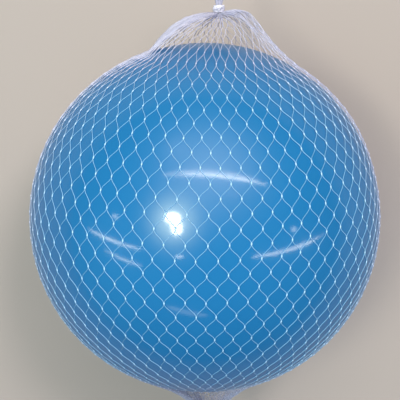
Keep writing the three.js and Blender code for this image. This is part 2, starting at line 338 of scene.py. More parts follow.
@dataclass(frozen=True)
class DrawnStrand:
    """Drawn polyethylene, clear where it is stretched over the ball's top and milk-white where it is
    gathered at the ends.

    It turns milk-white over change_length past stretched_reach along the net. Over side_depth below
    side_height down the ball's sides it takes the same pale colour as a painted sheen, for the light that
    the strands catch there at a slant. body is how much of it hides what lies behind.
    """

    name: str
    slot: str = "net"
    clear_colour: Colour = (0.37, 0.68, 0.98)
    # Pale colour of the gathered ends, also laid down the ball's sides as a painted sheen.
    milky_and_sheen_colour: Colour = (0.64, 0.62, 0.77)
    milk_scale: float = 420.0
    gloss: float = 0.2
    gloss_drift: float = 0.16
    body: float = 0.9
    gathered_body: float = 0.44
    body_drift: float = 0.15
    stretched_reach: float = 87 * MM
    change_length: float = 28 * MM
    side_height: float = 178 * MM
    side_depth: float = 50 * MM
    draw_lines: float = 0.3
    draw_line_scale: float = 3200.0
    draw_line_depth: float = 0.03 * MM

    def material(self) -> bpy.types.Material:
        """Builds the strand's material.

        Returns:
            A glossy, part-clear surface with fine draw lines, paler where gathered and with a painted sheen
            down the ball's sides.
        """
        graph = ShaderGraph(self.name)
        milk = graph.noise(self.milk_scale, detail=3.0)
        draw_lines = graph.noise(self.draw_line_scale, detail=1.0)
        place = graph.node("ShaderNodeSeparateXYZ", None, {0: graph.place}).outputs
        distance = Signal(graph, place["Y"]).size()
        gathered = ((distance - self.stretched_reach) * (1 / self.change_length)).clamped()
        # Painted sheen: lower down the ball's sides the strands take the pale colour, for the light that
        # they catch at a slant.
        side_sheen = ((self.side_height - Signal(graph, place["Z"])) * (1 / self.side_depth)).clamped()
        milky_and_sheen = (gathered + side_sheen).clamped()
        body = self.body + (self.gathered_body - self.body) * milky_and_sheen
        return graph.surface(
            {
                "Base Color": graph.blend_colour(milky_and_sheen, self.clear_colour, self.milky_and_sheen_colour),
                "Roughness": self.gloss + self.gloss_drift * (milk - 0.5),
                "Alpha": (body + self.body_drift * (milk - 0.5)).clamped(),
                "Normal": graph.bump(draw_lines, self.draw_lines, self.draw_line_depth),
            }
        )


@dataclass(frozen=True)
class PaleFloor:
    """Plain pale floor with hardly any mottle."""

    name: str = "pale_floor"
    colour: Colour = (0.408, 0.333, 0.315)
    shade: float = 0.96
    mottle_scale: float = 9.0
    gloss: float = 0.55
    gloss_drift: float = 0.1

    def material(self) -> bpy.types.Material:
        """Builds the floor's material.

        Returns:
            A dull surface, slightly mottled in colour and gloss.
        """
        graph = ShaderGraph(self.name)
        mottle = graph.noise(self.mottle_scale, detail=3.0)
        colour = graph.mottled(mottle, self.colour, self.shade)
        return graph.surface({"Base Color": colour, "Roughness": self.gloss + self.gloss_drift * mottle})


# Meshes


def linked_object(name: str, data: bpy.types.ID) -> bpy.types.Object:
    """Makes an object of a mesh, a light or a camera, and links it to the scene.

    Args:
        name: the object's name.
        data: what it holds.

    Returns:
        The object, at the origin.
    """
    made = bpy.data.objects.new(name, data)
    bpy.context.scene.collection.objects.link(made)
    return made


def mesh_object(
    name: str, points: np.ndarray, faces: np.ndarray, material: bpy.types.Material
) -> bpy.types.Object:
    """Makes a smooth closed piece whose faces point outwards.

    Args:
        name: the piece's name.
        points: one row of X, Y, Z for each vertex.
        faces: one row of vertex numbers for each face. A triangle repeats its last corner.
        material: its finish.

    Returns:
        The linked object, at the origin.
    """
    corners = [tuple(dict.fromkeys(face)) for face in faces.tolist()]
    if signed_volume(points, corners) < 0:
        corners = [face[::-1] for face in corners]
    mesh = bpy.data.meshes.new(name)
    mesh.from_pydata(points.tolist(), [], corners)
    mesh.polygons.foreach_set("use_smooth", [True] * len(mesh.polygons))
    mesh.materials.append(material)
    mesh.update()
    return linked_object(name, mesh)


def signed_volume(points: np.ndarray, faces: list[tuple[int, ...]]) -> float:
    """Measures the volume inside a closed mesh.

    Args:
        points: one row of X, Y, Z for each vertex.
        faces: the vertex numbers of each face.

    Returns:
        The volume, negative where the faces point inwards.
    """
    triangles = np.array([(face[0], *face[k : k + 2]) for face in faces for k in range(1, len(face) - 1)])
    a, b, c = (points[triangles[:, k]] for k in range(3))
    # A corner's three edges multiplied together give six times the pyramid between them.
    return float(np.einsum("ij,ij->i", a, np.cross(b, c)).sum()) / 6


@dataclass(frozen=True)
class Lathe:
    """Turns a profile round an axis that runs along +X through the ball's centre."""

    segments: int

    def turn(self, profile: Profile) -> tuple[np.ndarray, np.ndarray]:
        """Turns an open profile that ends on the axis, or a closed one whose last point is its first.

        Args:
            profile: radius and distance along the axis of each point.

        Returns:
            The vertices, and the faces with a repeated corner at a pole.
        """
        rings = np.array(profile)
        closed = bool(np.allclose(rings[0], rings[-1]))
        if closed:
            rings = rings[:-1]
        angles = np.arange(self.segments) * (2 * math.pi / self.segments)
        points = []
        numbers = np.empty((len(rings), self.segments), dtype=int)
        for index, (radius, along) in enumerate(rings):
            start = len(points)
            if radius < ON_AXIS:
                points.append((along, 0.0, 0.0))
                numbers[index] = start
                continue
            points.extend((along, radius * math.cos(angle), radius * math.sin(angle)) for angle in angles)
            numbers[index] = start + np.arange(self.segments)
        following = np.roll(numbers, -1, axis=1)
        last = len(rings) if closed else len(rings) - 1
        faces = []
        for index in range(last):
            below, above = index, (index + 1) % len(rings)
            faces.append(np.stack([numbers[below], following[below], following[above], numbers[above]], 1))
        return np.array(points) + BALL_CENTRE, np.concatenate(faces)


def rounded(corners: Profile, roundings: tuple[float, ...], steps: int = 4) -> Profile:
    """Rounds the corners of a profile. The last corner runs on to the first where either is rounded.

    Args:
        corners: radius and distance along the axis of each corner.
        roundings: how far each corner's rounding reaches along its edges. 0 keeps the corner sharp.
        steps: how many straight steps each rounding has.

    Returns:
        The profile with its corners rounded.
    """
    profile = []
    points = [np.array(corner) for corner in corners]
    for index, (point, reach) in enumerate(zip(points, roundings)):
        if reach == 0:
            profile.append(tuple(point))
            continue
        before = points[index - 1] - point
        after = points[(index + 1) % len(points)] - point
        start = point + before / np.linalg.norm(before) * reach
        end = point + after / np.linalg.norm(after) * reach
        for step in range(steps + 1):
            t = step / steps
            profile.append(tuple((1 - t) ** 2 * start + 2 * t * (1 - t) * point + t**2 * end))
    return profile


# Ball and valve


@dataclass
class Ball:
    """The blown skin: one hollow shell with a rounded valve hole and the moulded rings round it."""

    radius: float = BALL_RADIUS
    wall: float = SKIN_WALL
    hole_radius: float = 3.9 * MM
    lip_reach: float = 0.3 * MM
    ring_radii: tuple[float, ...] = (7.5 * MM, 14 * MM)
    ring_width: float = 0.7 * MM
    ring_depth: float = 0.22 * MM
    fine_margin: float = 2.1 * MM
    fine_rings: int = 44
    coarse_rings: int = 84
    inner_rings: int = 64
    lip_steps: int = 6
    segments: int = 168
    finish: BlownVinyl = field(default_factory=BlownVinyl)

    def _groove(self, distance: float) -> float:
        """The depth of the moulded rings at a distance from the valve's axis."""
        depth = sum(math.exp(-(((distance - ring) / self.ring_width) ** 2)) for ring in self.ring_radii)
        return self.ring_depth * depth

    def _hole_angle(self, radius: float) -> float:
        """The angle from the valve's axis at which a face of the skin ends at the hole's lip."""
        return math.asin((self.hole_radius + self.lip_reach) / radius)

    def _arc_angles(self) -> list[float]:
        """Divides the outer face from the hole to the far pole.

        Returns:
            Angles from the valve's axis, close together near the moulded rings and even elsewhere.
        """
        fine_end = math.asin((self.ring_radii[-1] + self.fine_margin) / self.radius)
        fine = np.linspace(self._hole_angle(self.radius), fine_end, self.fine_rings)
        coarse = np.linspace(fine_end, math.pi, self.coarse_rings)
        return [*fine, *coarse[1:]]

    def _profile(self) -> Profile:
        """Draws half a section through the skin.

        Returns:
            Its outer face, the lip of its hole and its inner face, from pole to pole.
        """
        outer = []
        for angle in self._arc_angles():
            radius = self.radius - self._groove(self.radius * math.sin(angle))
            outer.append((max(0.0, radius * math.sin(angle)), radius * math.cos(angle)))
        outer.reverse()
        outer[0] = (0.0, -self.radius)
        inner_radius = self.radius - self.wall
        middle = self.radius - self.wall / 2
        edge = math.asin(self.hole_radius / middle)
        lip = []
        for step in range(1, self.lip_steps):
            turn = math.pi / 2 - math.pi * step / self.lip_steps
            bulge = self.wall / 2 * math.cos(turn)
            height = middle + self.wall / 2 * math.sin(turn)
            lip.append((height * math.sin(edge) + self.lip_reach - bulge, height * math.cos(edge)))
        inner = [
            (inner_radius * math.sin(angle), inner_radius * math.cos(angle))
            for angle in np.linspace(self._hole_angle(inner_radius), math.pi, self.inner_rings)
        ]
        inner[-1] = (0.0, -inner_radius)
        return [*outer, *lip, *inner]

    def build(self) -> bpy.types.Object:
        """Builds and dresses the skin.

        Returns:
            The skin, riding with the net.
        """
        points, faces = Lathe(self.segments).turn(self._profile())
        skin = mesh_object("skin", points, faces, self.finish.material())
        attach(skin, NETTED_BODY)
        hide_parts("ball_skin")
        return skin


@dataclass
class Valve:
    """The soft socket inside the skin and the push-in plug that seals it."""

    head_radius: float = 3.5 * MM
    head_thickness: float = 1.3 * MM
    head_crown: float = 0.3 * MM
    head_roundings: tuple[float, float] = (0.25 * MM, 0.55 * MM)
    head_rounding_steps: int = 6
    dimple_radius: float = 1.4 * MM
    dimple_depth: float = 0.25 * MM
    dimple_fall: float = 2.0
    dimple_surround: float = 2.1 * MM
    dimple_rings: int = 12
    pin_radius: float = 2 * MM
    pin_length: float = 11 * MM
    tip_radius: float = 1.4 * MM
    tip_taper: float = 3 * MM
    tip_rounding: float = 0.5 * MM
    rib_height: float = 0.14 * MM
    rib_places: tuple[float, ...] = (5.5 * MM, 8.5 * MM)
    rib_half_width: float = 0.8 * MM
    rib_half_steps: int = 4
    flange_face: float = 113.48 * MM
    flange_radius: float = 9 * MM
    flange_thickness: float = 1.2 * MM
    flange_roundings: tuple[float, float, float] = (0.6 * MM, 0.5 * MM, 0.3 * MM)
    socket_wall: float = 1.6 * MM
    socket_length: float = 13 * MM
    socket_end_roundings: tuple[float, float] = (0.4 * MM, 0.5 * MM)
    mouth_rounding: float = 0.3 * MM
    segments: int = 64
    socket_finish: MouldedPlastic = field(
        default_factory=lambda: MouldedPlastic("soft_socket", "socket", (0.02, 0.24, 0.56), gloss=0.5)
    )
    plug_finish: MouldedPlastic = field(
        default_factory=lambda: MouldedPlastic("moulded_plug", "plug", (0.86, 0.88, 0.86))
    )

    def _socket_profile(self) -> Profile:
        """Draws half a section through the socket.

        Returns:
            A flange that is bonded inside the skin and a thick-walled tube with a rounded end.
        """
        bore = self.pin_radius + SEAT_GAP
        tube = bore + self.socket_wall
        back = self.flange_face - self.flange_thickness
        end = self.flange_face - self.socket_length
        corners = [
            (bore, end),
            (tube, end),
            (tube, back),
            (self.flange_radius, back),
            (self.flange_radius, self.flange_face),
            (bore, self.flange_face),
        ]
        roundings = (*self.socket_end_roundings, *self.flange_roundings, self.mouth_rounding)
        profile = rounded(corners, roundings)
        return [*profile, profile[0]]

    def _plug_profile(self) -> Profile:
        """Draws half a section through the plug.

        Returns:
            A tapered pin with sealing ribs under a crowned head with a dimple.
        """
        seat = self.flange_face + SEAT_GAP
        tip = seat - self.pin_length
        rim = seat + self.head_thickness
        profile = rounded(
            [(0.0, tip), (self.tip_radius, tip), (self.pin_radius, tip + self.tip_taper)],
            (0.0, self.tip_rounding, 0.0),
        )
        for place in self.rib_places:
            for step in range(-self.rib_half_steps, self.rib_half_steps + 1):
                share = step / self.rib_half_steps
                swell = self.rib_height * math.cos(share * math.pi / 2) ** 2
                profile.append((self.pin_radius + swell, tip + place + share * self.rib_half_width))
        profile.append((self.pin_radius, seat))
        edge = [(self.pin_radius, seat), (self.head_radius, seat), (self.head_radius, rim)]
        corners = [*edge, (0.0, rim + self.head_crown)]
        profile += rounded(corners, (0.0, *self.head_roundings, 0.0), self.head_rounding_steps)[1:-1]
        for step in range(self.dimple_rings + 1):
            radius = self.dimple_surround * (1 - step / self.dimple_rings)
            share = radius / self.head_radius
            # The fourth power gives the dimple a flat floor and a clear edge.
            fall = self.dimple_fall * (radius / self.dimple_radius) ** 4
            hollow = self.dimple_depth * math.exp(-fall)
            profile.append((radius, rim + self.head_crown * (1 - share**2) - hollow))
        return profile

    def build(self) -> list[bpy.types.Object]:
        """Builds and dresses the socket and the plug.

        Returns:
            The socket, which rides with the ball, and the plug, which rides on its own body.
        """
        points, faces = Lathe(self.segments).turn(self._socket_profile())
        socket = mesh_object("socket", points, faces, self.socket_finish.material())
        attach(socket, NETTED_BODY)
        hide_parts("valve_socket")
        points, faces = Lathe(self.segments).turn(self._plug_profile())
        plug = mesh_object("plug_with_ribs", points, faces, self.plug_finish.material())
        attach(plug, PLUG_BODY)
        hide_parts("valve_plug")
        return [socket, plug]


# Net


class Family(Enum):
    """The two sets of strands of an extruded diamond net, by the way they turn towards the neck."""

    OUTER = -1
    INNER = 1


@dataclass(frozen=True)
class Lead:
    """How the net leaves the ball on one side of a gathered end.

    It leaves at the lift_off latitude, goes on by run along the ball's tangent and lift away from it, and
    aims for a point that lies spread beyond the stem's surface and arch past the stem's foot.
    """

    lift_off: float
    run: float
    lift: float
    spread: float
    arch: float


@dataclass(frozen=True)
class Gather:
    """One gathered end of the net.

    The stem's foot lies reach past the ball and stem_offset towards the valve. Folds go fold_depth deep.
    bunching and drift turn the strands on the underside round the axis, in radians.
    """

    name: str
    direction: int
    stem_offset: float
    reach: float
    valve_side: Lead
    top: Lead
    far_side: Lead
    floor_side: Lead
    fold_depth: float
    fold_seed: int
    bunching: float
    drift: float

    @property
    def stem_along(self) -> float:
        """The distance of the stem's foot from the ball's centre."""
        return BALL_RADIUS + self.reach


NECK = Gather(
    name="neck",
    direction=1,
    stem_offset=9 * MM,
    reach=18 * MM,
    valve_side=Lead(58 * DEGREE, 42 * MM, 2.9 * MM, 25 * MM, 9.3 * MM),
    top=Lead(60.5 * DEGREE, 9.4 * MM, 3.2 * MM, 27 * MM, -7 * MM),
    far_side=Lead(72 * DEGREE, 10 * MM, 4.6 * MM, 29 * MM, 3 * MM),
    floor_side=Lead(64 * DEGREE, 13.8 * MM, 5.5 * MM, 24 * MM, -2 * MM),
    fold_depth=2.6 * MM,
    fold_seed=11,
    bunching=0.42,
    drift=0.45,
)
TAIL = Gather(
    name="tail",
    direction=-1,
    stem_offset=3.4 * MM,
    reach=32 * MM,
    valve_side=Lead(62 * DEGREE, 20 * MM, 0, 6 * MM, -18 * MM),
    top=Lead(61 * DEGREE, 20 * MM, 0, 6 * MM, -18 * MM),
    far_side=Lead(62 * DEGREE, 20 * MM, 0, 6 * MM, -18 * MM),
    floor_side=Lead(61 * DEGREE, 20 * MM, 0, 6 * MM, -18 * MM),
    fold_depth=0.9 * MM,
    fold_seed=23,
    bunching=0.0,
    drift=0.0,
)


@dataclass(frozen=True)
class Drape:
    """How the net hangs askew on the ball, as small shifts of its rows and columns in radians.

    sway, hang, roll and slant shift the rows along the axis, each in its own way round it. twist,
    twist_sway and twist_bend turn the columns, more the further they are from the middle row.
    """

    row_start: float = -0.2 * DEGREE
    column_start: float = 0.7 * DEGREE
    sway: float = 0.068
    hang: float = 0.085
    hang_share: float = 0.7
    hang_second_share: float = 0.075
    roll: float = -0.032
    slant: float = -0.058
    twist: float = 0.030
    twist_sway: float = 0.055
    twist_bend: float = 0.025

    def apply(self, latitude: np.ndarray, longitude: np.ndarray) -> tuple[np.ndarray, np.ndarray]:
        """Shifts points of the even net to where they lie on the ball.

        Args:
            latitude: angle from the middle row towards the neck.
            longitude: angle round the net's axis from the top, towards the valve.

        Returns:
            The shifted latitude and longitude.
        """
        sideways = np.sin(longitude)
        under = self.hang_share * (1 - np.cos(longitude))
        under = under + self.hang_second_share * (1 - np.cos(2 * longitude))
        along = self.sway * sideways + self.hang * under + self.roll * np.sin(2 * longitude)
        along = along + self.slant * latitude * sideways
        turned = latitude * (self.twist + self.twist_sway * sideways) + self.twist_bend * latitude**2
        return latitude + along, longitude + turned


def smooth_step(value: np.ndarray, start: float, end: float) -> np.ndarray:
    """Rises smoothly from 0 at start to 1 at end."""
    share = np.clip((value - start) / (end - start), 0, 1)
    return share * share * (3 - 2 * share)


@dataclass
class Sleeve:
    """The surface that the net follows: over the ball, in to each stem and out into each tassel.

    fold_waves gives each wave's number of folds round the axis and its strength. The starts and ends of
    folds and bunching are shares of the way from the ball's last row to the stem.
    """

    columns: int = 60
    strand_length: float = 10.33 * MM
    ball_rows: int = 12
    stem_rows: int = 3
    stem_radius: float = 1.7 * MM
    stem_length: float = 7 * MM
    tassel_length: float = 25 * MM
    tassel_radius: float = 7.5 * MM
    slack: float = 1.5 * MM
    slack_start: float = 12 * DEGREE
    slack_end: float = 42 * DEGREE
    slack_power: float = 1.5
    fold_waves: tuple[tuple[int, float], ...] = ((3, 0.5), (5, 0.55), (8, 0.5), (13, 0.42), (19, 0.3))
    fold_slew: float = 2.0
    fold_start: float = 0.1
    fold_end: float = 0.6
    deepest_fold: float = 0.3
    fold_lean: float = 0.6
    fold_slide: float = 0.8
    bunching_start: float = 0.1
    bunching_end: float = 0.8
    flare_power: float = 0.8
    path_samples: int = 25
    drape: Drape = field(default_factory=Drape)

    def __post_init__(self) -> None:
        """Works out the rows of joints on the ball and at each end."""
        reach = self.strand_length / BALL_RADIUS
        latitudes = [0.0]
        for _ in range(self.ball_rows):
            sideways = math.pi / self.columns * math.cos(latitudes[-1])
            latitudes.append(latitudes[-1] + math.sqrt(reach**2 - sideways**2))
        north = np.array(latitudes)
        self.latitudes = np.concatenate([-north[:0:-1], north]) + self.drape.row_start
        self.gather_rows = {end.name: self._count_gather_rows(end) for end in (NECK, TAIL)}
        self.folds = {end.name: self._draw_folds(end) for end in (NECK, TAIL)}

    def _count_gather_rows(self, end: Gather) -> int:
        """Counts the rows of joints of one gather.

        Args:
            end: the gathered end.

        Returns:
            How many rows lie between the last row on the ball and the stem.
        """
        angle = np.array([0.0, math.pi / 2, math.pi])
        start = np.full_like(angle, abs(self.latitudes[-1]))
        ball_length, lengths, _ = self._gather_lengths(end, start, angle)
        return round(float((ball_length + lengths[:, -1]).mean()) / self.strand_length)

    def _draw_folds(self, end: Gather) -> list[tuple[int, float, float, float]]:
        """Draws the waves whose sum folds the net.

        Args:
            end: the gathered end.

        Returns:
            Each wave's number of folds, strength, phase and how far it turns on the way to the stem.
        """
        rng = np.random.default_rng(end.fold_seed)
        waves = []
        for count, strength in self.fold_waves:
            phase = rng.uniform(0, 2 * math.pi)
            slew = rng.uniform(-self.fold_slew, self.fold_slew)
            waves.append((count, strength, phase, slew))
        return waves

    @property
    def last_rows(self) -> tuple[int, int]:
        """The row numbers of the tail's and the neck's cut ends."""
        return (
            -(self.ball_rows + self.gather_rows[TAIL.name] + self.stem_rows),
            self.ball_rows + self.gather_rows[NECK.name] + self.stem_rows,
        )

    def _control_points(self, end: Gather, angle: np.ndarray) -> np.ndarray:
        """Places the four points that lead the net from the ball to the stem.

        Args:
            end: the gathered end.
            angle: the angles round the axis.

        Returns:
            Four control points for each angle.
        """
        across, upward = np.cos(angle), np.sin(angle)
        sides = (
            (end.valve_side, np.maximum(across, 0) ** 2),
            (end.far_side, np.minimum(across, 0) ** 2),
            (end.top, np.maximum(upward, 0) ** 2),
            (end.floor_side, np.minimum(upward, 0) ** 2),
        )

        def blended(name: str) -> np.ndarray:
            """One of the lead's sizes at each angle."""
            return sum(getattr(lead, name) * share for lead, share in sides)

        lift_off = blended("lift_off")
        reach = BALL_RADIUS + self._slack(end.direction * lift_off, angle)
        radius = reach * np.cos(lift_off)
        along = reach * np.sin(lift_off)
        run, lift = blended("run"), blended("lift")
        lead_radius = radius - run * np.sin(lift_off) + lift * np.cos(lift_off)
        lead_along = along + run * np.cos(lift_off) + lift * np.sin(lift_off)
        aim = self.stem_radius + blended("spread")
        stem = np.full_like(angle, self.stem_radius)
        foot = np.full_like(angle, end.stem_along)
        return np.stack(
            [
                self._round(radius, along, angle, 0.0),
                self._round(lead_radius, lead_along, angle, 0.0),
                self._round(aim, end.stem_along + blended("arch"), angle, end.stem_offset),
                self._round(stem, foot, angle, end.stem_offset),
            ],
            axis=1,
        ) * np.array([1, end.direction, 1])

    def _slack(self, latitude: np.ndarray, angle: np.ndarray) -> np.ndarray:
        """How far the net stands off the ball: it hangs loose on the valve's side towards the neck."""
        towards_valve = np.maximum(np.cos(angle), 0) ** self.slack_power
        return self.slack * towards_valve * smooth_step(latitude, self.slack_start, self.slack_end)

    @staticmethod
    def _round(radius: np.ndarray, along: np.ndarray, angle: np.ndarray, offset: float) -> np.ndarray:
        """Points round the net's axis, or round a stem's axis that is offset from it."""
        return np.stack([offset + radius * np.cos(angle), along, radius * np.sin(angle)], axis=1)

    def _on_ball(self, latitude: np.ndarray, angle: np.ndarray) -> np.ndarray:
        """Points where the net lies on the ball or hangs loose beside it."""
        reach = BALL_RADIUS + self._slack(latitude, angle)
        return self._round(reach * np.cos(latitude), reach * np.sin(latitude), angle, 0.0)

    @staticmethod
    def _curve_point(control: np.ndarray, share: np.ndarray) -> np.ndarray:
        """Places points on cubic curves.

        Args:
            control: four control points for each curve.
            share: how far along its own curve each point lies, 0 to 1.

        Returns:
            One point for each curve.
        """
        t = share[:, None]
        weights = [(1 - t) ** 3, 3 * t * (1 - t) ** 2, 3 * t**2 * (1 - t), t**3]
        return sum(weight * control[:, k] for k, weight in enumerate(weights))

    def _gather_lengths(
        self, end: Gather, start: np.ndarray, angle: np.ndarray
    ) -> tuple[np.ndarray, np.ndarray, np.ndarray]:
        """Measures the path from a latitude to the stem.

        Args:
            end: the gathered end.
            start: the latitude where the path starts.
            angle: the angle round the axis.

        Returns:
            The length on the ball, the running lengths on the curve and the curve's control points.
        """
        control = self._control_points(end, angle)
        away = np.linalg.norm(control[:, 0], axis=1)
        lift_off = np.arcsin(np.abs(control[:, 0, 1]) / away)
        shares = np.linspace(0, 1, self.path_samples)
        samples = [self._curve_point(control, np.full(len(angle), share)) for share in shares]
        steps = [np.linalg.norm(b - a, axis=1) for a, b in zip(samples, samples[1:])]
        running = np.concatenate([np.zeros((1, len(angle))), np.cumsum(steps, axis=0)]).T
        return BALL_RADIUS * (lift_off - start), running, control

    def _fold(self, end: Gather, point: np.ndarray, angle: np.ndarray, share: np.ndarray) -> np.ndarray:
        """Pulls points of the gather inwards into folds that grow towards the stem.

        Args:
            end: the gathered end.
            point: points on the even gather.
            angle: their angles round the axis.
            share: how far they are from the lift-off, 0, to the stem, 1.

        Returns:
            The folded points.
        """
        axis = np.array([end.stem_offset, 0.0, 0.0])
        outward = (point - axis) * np.array([1, 0, 1])
        radius = np.linalg.norm(outward, axis=1)
        outward = outward / radius[:, None]
        sideways = np.cross(outward, [0.0, 1.0, 0.0])
        grown = smooth_step(share, self.fold_start, self.fold_end)
        depth = grown * np.minimum(end.fold_depth, self.deepest_fold * radius)
        pull = np.ones_like(angle)
        slide = np.zeros_like(angle)
        for count, strength, phase, slew in self.folds[end.name]:
            turn = count * angle + phase + slew * share
            pull -= strength * np.sin(turn)
            slide += strength * np.cos(turn + self.fold_lean)
        inward = depth * np.maximum(pull, 0)
        side_sheen = self.fold_slide * depth * slide
        return point - outward * inward[:, None] + sideways * side_sheen[:, None]

    def _gather_point(
        self, end: Gather, beyond: np.ndarray, start: np.ndarray, angle: np.ndarray
    ) -> np.ndarray:
        """Places points past the ball's last row.

        Args:
            end: the gathered end.
            beyond: how many rows past the ball's last row.
            start: the latitude of that last row.
            angle: the angle round the axis.

        Returns:
            Points relative to the ball's centre.
        """
        rows = self.gather_rows[end.name]
        bunched = smooth_step(beyond / rows, self.bunching_start, self.bunching_end)
        bunched = bunched * (1 - np.sin(angle)) / 2
        angle = angle - bunched * (end.bunching * np.sin(2 * angle) + end.drift)
        ball_length, running, control = self._gather_lengths(end, start, angle)
        travelled = np.clip(beyond / rows, 0, 1) * (ball_length + running[:, -1])
        on_ball = travelled < ball_length
        latitude = np.minimum(start + travelled / BALL_RADIUS, math.pi / 2)
        sphere = self._on_ball(end.direction * latitude, angle)
        on_curve = np.maximum(travelled - ball_length, 0)[:, None]
        pieces = np.diff(running, axis=1)
        t = np.clip((on_curve - running[:, :-1]) / pieces, 0, 1).sum(axis=1) / pieces.shape[1]
        point = np.where(on_ball[:, None], sphere, self._curve_point(control, t))
        past = np.maximum(beyond - rows, 0) / self.stem_rows * (self.stem_length + self.tassel_length)
        flare = np.maximum(past - self.stem_length, 0) / self.tassel_length
        widened = 1 + flare**self.flare_power * (self.tassel_radius / self.stem_radius - 1)
        axis = np.array([end.stem_offset, 0.0, 0.0])
        in_stem = beyond > rows
        still = np.zeros_like(past)
        stem = (point - axis) * np.stack([widened, np.ones_like(past), widened], 1) + axis
        stem = stem + np.stack([still, end.direction * past, still], 1)
        point = np.where(in_stem[:, None], stem, point)
        return self._fold(end, point, angle, np.where(on_ball, 0.0, np.maximum(t, in_stem)))

    def point(self, row: np.ndarray, longitude: np.ndarray) -> np.ndarray:
        """Places points of the net.

        Args:
            row: the row number, with fractions between rows. Row 0 is the middle one.
            longitude: the angle round the even net's axis from the top, towards the valve.

        Returns:
            One row of X, Y, Z for each point.
        """
        held = np.clip(row, -self.ball_rows, self.ball_rows)
        rows = np.arange(-self.ball_rows, self.ball_rows + 1)
        latitude, turned = self.drape.apply(np.interp(held, rows, self.latitudes), longitude)
        angle = math.pi / 2 - turned
        place = self._on_ball(latitude, angle)
        for end in (NECK, TAIL):
            beyond = end.direction * row - self.ball_rows
            chosen = beyond > 0
            if chosen.any():
                start = end.direction * latitude[chosen]
                place[chosen] = self._gather_point(end, beyond[chosen], start, angle[chosen])
        return place + BALL_CENTRE

    def directions(self, row: np.ndarray, longitude: np.ndarray) -> tuple[np.ndarray, np.ndarray]:
        """Directions on the net.

        Args:
            row: the row numbers.
            longitude: the angles round the even net.

        Returns:
            Unit vectors along the net towards the neck and straight out of it.
        """
        row_step, angle_step = 0.04, 0.01
        along = self.point(row + row_step, longitude) - self.point(row - row_step, longitude)
        side = self.point(row, longitude + angle_step) - self.point(row, longitude - angle_step)
        outward = np.cross(side, along)
        outward /= np.maximum(np.linalg.norm(outward, axis=1), NO_LENGTH)[:, None]
        along /= np.maximum(np.linalg.norm(along, axis=1), NO_LENGTH)[:, None]
        return along, outward


class GeometryGraph(Graph):
    """A Geometry Nodes tree with named inputs, applied to one object at a time."""

    def __init__(self, name: str, lengths: tuple[str, ...], counts: tuple[str, ...]) -> None:
        """Makes the tree.

        Args:
            name: the tree's name.
            lengths: names of the inputs that hold a length.
            counts: names of the inputs that hold a whole number.
        """
        super().__init__(bpy.data.node_groups.new(name, "GeometryNodeTree"))
        interface = self.tree.interface
        interface.new_socket("Geometry", in_out="OUTPUT", socket_type="NodeSocketGeometry")
        interface.new_socket("Geometry", in_out="INPUT", socket_type="NodeSocketGeometry")
        for label in lengths:
            interface.new_socket(label, in_out="INPUT", socket_type="NodeSocketFloat")
        for label in counts:
            interface.new_socket(label, in_out="INPUT", socket_type="NodeSocketInt")
        interface.new_socket("Material", in_out="INPUT", socket_type="NodeSocketMaterial")
        self.given = self.node("NodeGroupInput").outputs

    def attribute(self, name: str, data_type: str) -> bpy.types.NodeSocket:
        """The named attribute of the geometry."""
        settings = {"data_type": data_type}
        return self.node("GeometryNodeInputNamedAttribute", settings, {"Name": name}).outputs["Attribute"]

    def finish(self, geometry: bpy.types.NodeSocket) -> None:
        """Ends the tree: smooth faces, real geometry instead of instances, and the material.

        Args:
            geometry: the socket that gives the finished shape.
        """
        smooth = self.node("GeometryNodeSetShadeSmooth", None, {"Geometry": geometry}).outputs[0]
        real = self.node("GeometryNodeRealizeInstances", None, {"Geometry": smooth}).outputs[0]
        inputs = {"Geometry": real, "Material": self.given["Material"]}
        dressed = self.node("GeometryNodeSetMaterial", None, inputs).outputs[0]
        self.node("NodeGroupOutput", None, {"Geometry": dressed})

    def apply(self, piece: bpy.types.Object, values: dict[str, object]) -> None:
        """Runs the tree on an object and keeps the result as its plain mesh.

        Args:
            piece: the object whose mesh the tree reads.
            values: a value for every input, by its name.
        """
        modifier = piece.modifiers.new(self.tree.name, "NODES")
        modifier.node_group = self.tree
        for item in self.tree.interface.items_tree:
            if item.in_out == "INPUT" and item.name in values:
                modifier[item.identifier] = values[item.name]
        depsgraph = bpy.context.evaluated_depsgraph_get()
        source = piece.data
        piece.data = bpy.data.meshes.new_from_object(piece.evaluated_get(depsgraph))
        piece.modifiers.clear()
        bpy.data.meshes.remove(source)


def strand_graph() -> GeometryGraph:
    """Makes the tree that gives lines of points a round strand.

    Returns:
        The tree. Its strand is thicker where the points' swell is greater.
    """
    graph = GeometryGraph("strand", lengths=("Strand Diameter",), counts=("Sides",))
    curve = graph.node("GeometryNodeMeshToCurve", None, {"Mesh": graph.given["Geometry"]}).outputs[0]
    radius = Signal(graph, graph.given["Strand Diameter"]) * 0.5
    inputs = {"Resolution": graph.given["Sides"], "Radius": radius}
    ring = graph.node("GeometryNodeCurvePrimitiveCircle", {"mode": "RADIUS"}, inputs).outputs[0]
    swell = graph.attribute("swell", "FLOAT")
    inputs = {"Curve": curve, "Profile Curve": ring, "Scale": swell, "Fill Caps": True}
    graph.finish(graph.node("GeometryNodeCurveToMesh", None, inputs).outputs[0])
    return graph


